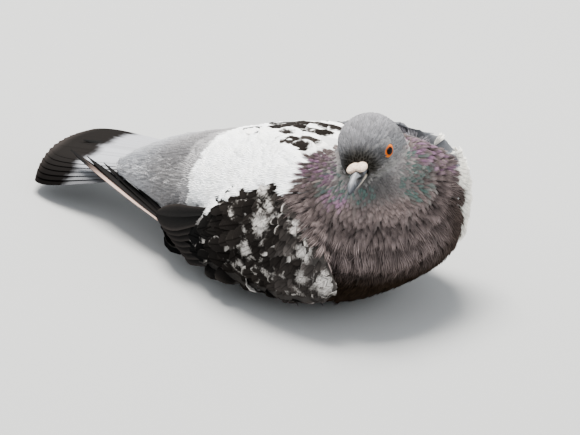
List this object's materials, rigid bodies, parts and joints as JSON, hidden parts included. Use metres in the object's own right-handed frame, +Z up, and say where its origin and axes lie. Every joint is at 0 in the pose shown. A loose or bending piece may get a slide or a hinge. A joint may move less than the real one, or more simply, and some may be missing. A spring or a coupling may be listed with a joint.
{
  "type": "resting feral pigeon",
  "caption": "Still, life-size feral pigeon resting on its belly, head drawn in and turned to its right, wings and tail closed.",
  "frame": {"origin": "on the floor, at the middle of the flat strip of belly that the bird rests on", "axes": "the bird faces -Y, its left side is +X, +Z is up"},
  "size_m": [0.1089, 0.2704, 0.0975],
  "materials": {
    "head_plumage": "dense short slate-grey feathers, matte",
    "neck_plumage": "narrow feathers, purple-grey with a green and magenta gloss",
    "body_plumage": "soft overlapping feathers, dusky breast, white back and grey rump",
    "wing_plumage": "round-tipped coverts, charcoal with white edges and blotches",
    "flight_feathers": "stiff dark vanes with a pale quill edge",
    "tail_feathers": "stiff blue-grey vanes with a dark end band",
    "eye": "wet, orange iris with a black pupil",
    "cere": "chalky, finely grained",
    "bill": "blue-grey horn with a soft shine",
    "leg_skin": "scaled red skin",
    "claw": "dark horn"
  },
  "bodies": {
    "root": {"head": "head_plumage", "eye_right": "eye", "eye_left": "eye", "cere": "cere", "bill_upper": "bill", "bill_lower": "bill", "neck": "neck_plumage", "trunk": "body_plumage", "wing_right": "wing_plumage", "wing_left": "wing_plumage", "secondaries_right": "flight_feathers", "secondaries_left": "flight_feathers", "primaries_right": "flight_feathers", "primaries_left": "flight_feathers", "tail": "tail_feathers", "shank_right": "leg_skin", "shank_left": "leg_skin", "foot_right": "leg_skin", "foot_left": "leg_skin", "claw_right_middle": "claw", "claw_right_inner": "claw", "claw_right_outer": "claw", "claw_right_hind": "claw", "claw_left_middle": "claw", "claw_left_inner": "claw", "claw_left_outer": "claw", "claw_left_hind": "claw"}
  },
  "joints": []
}
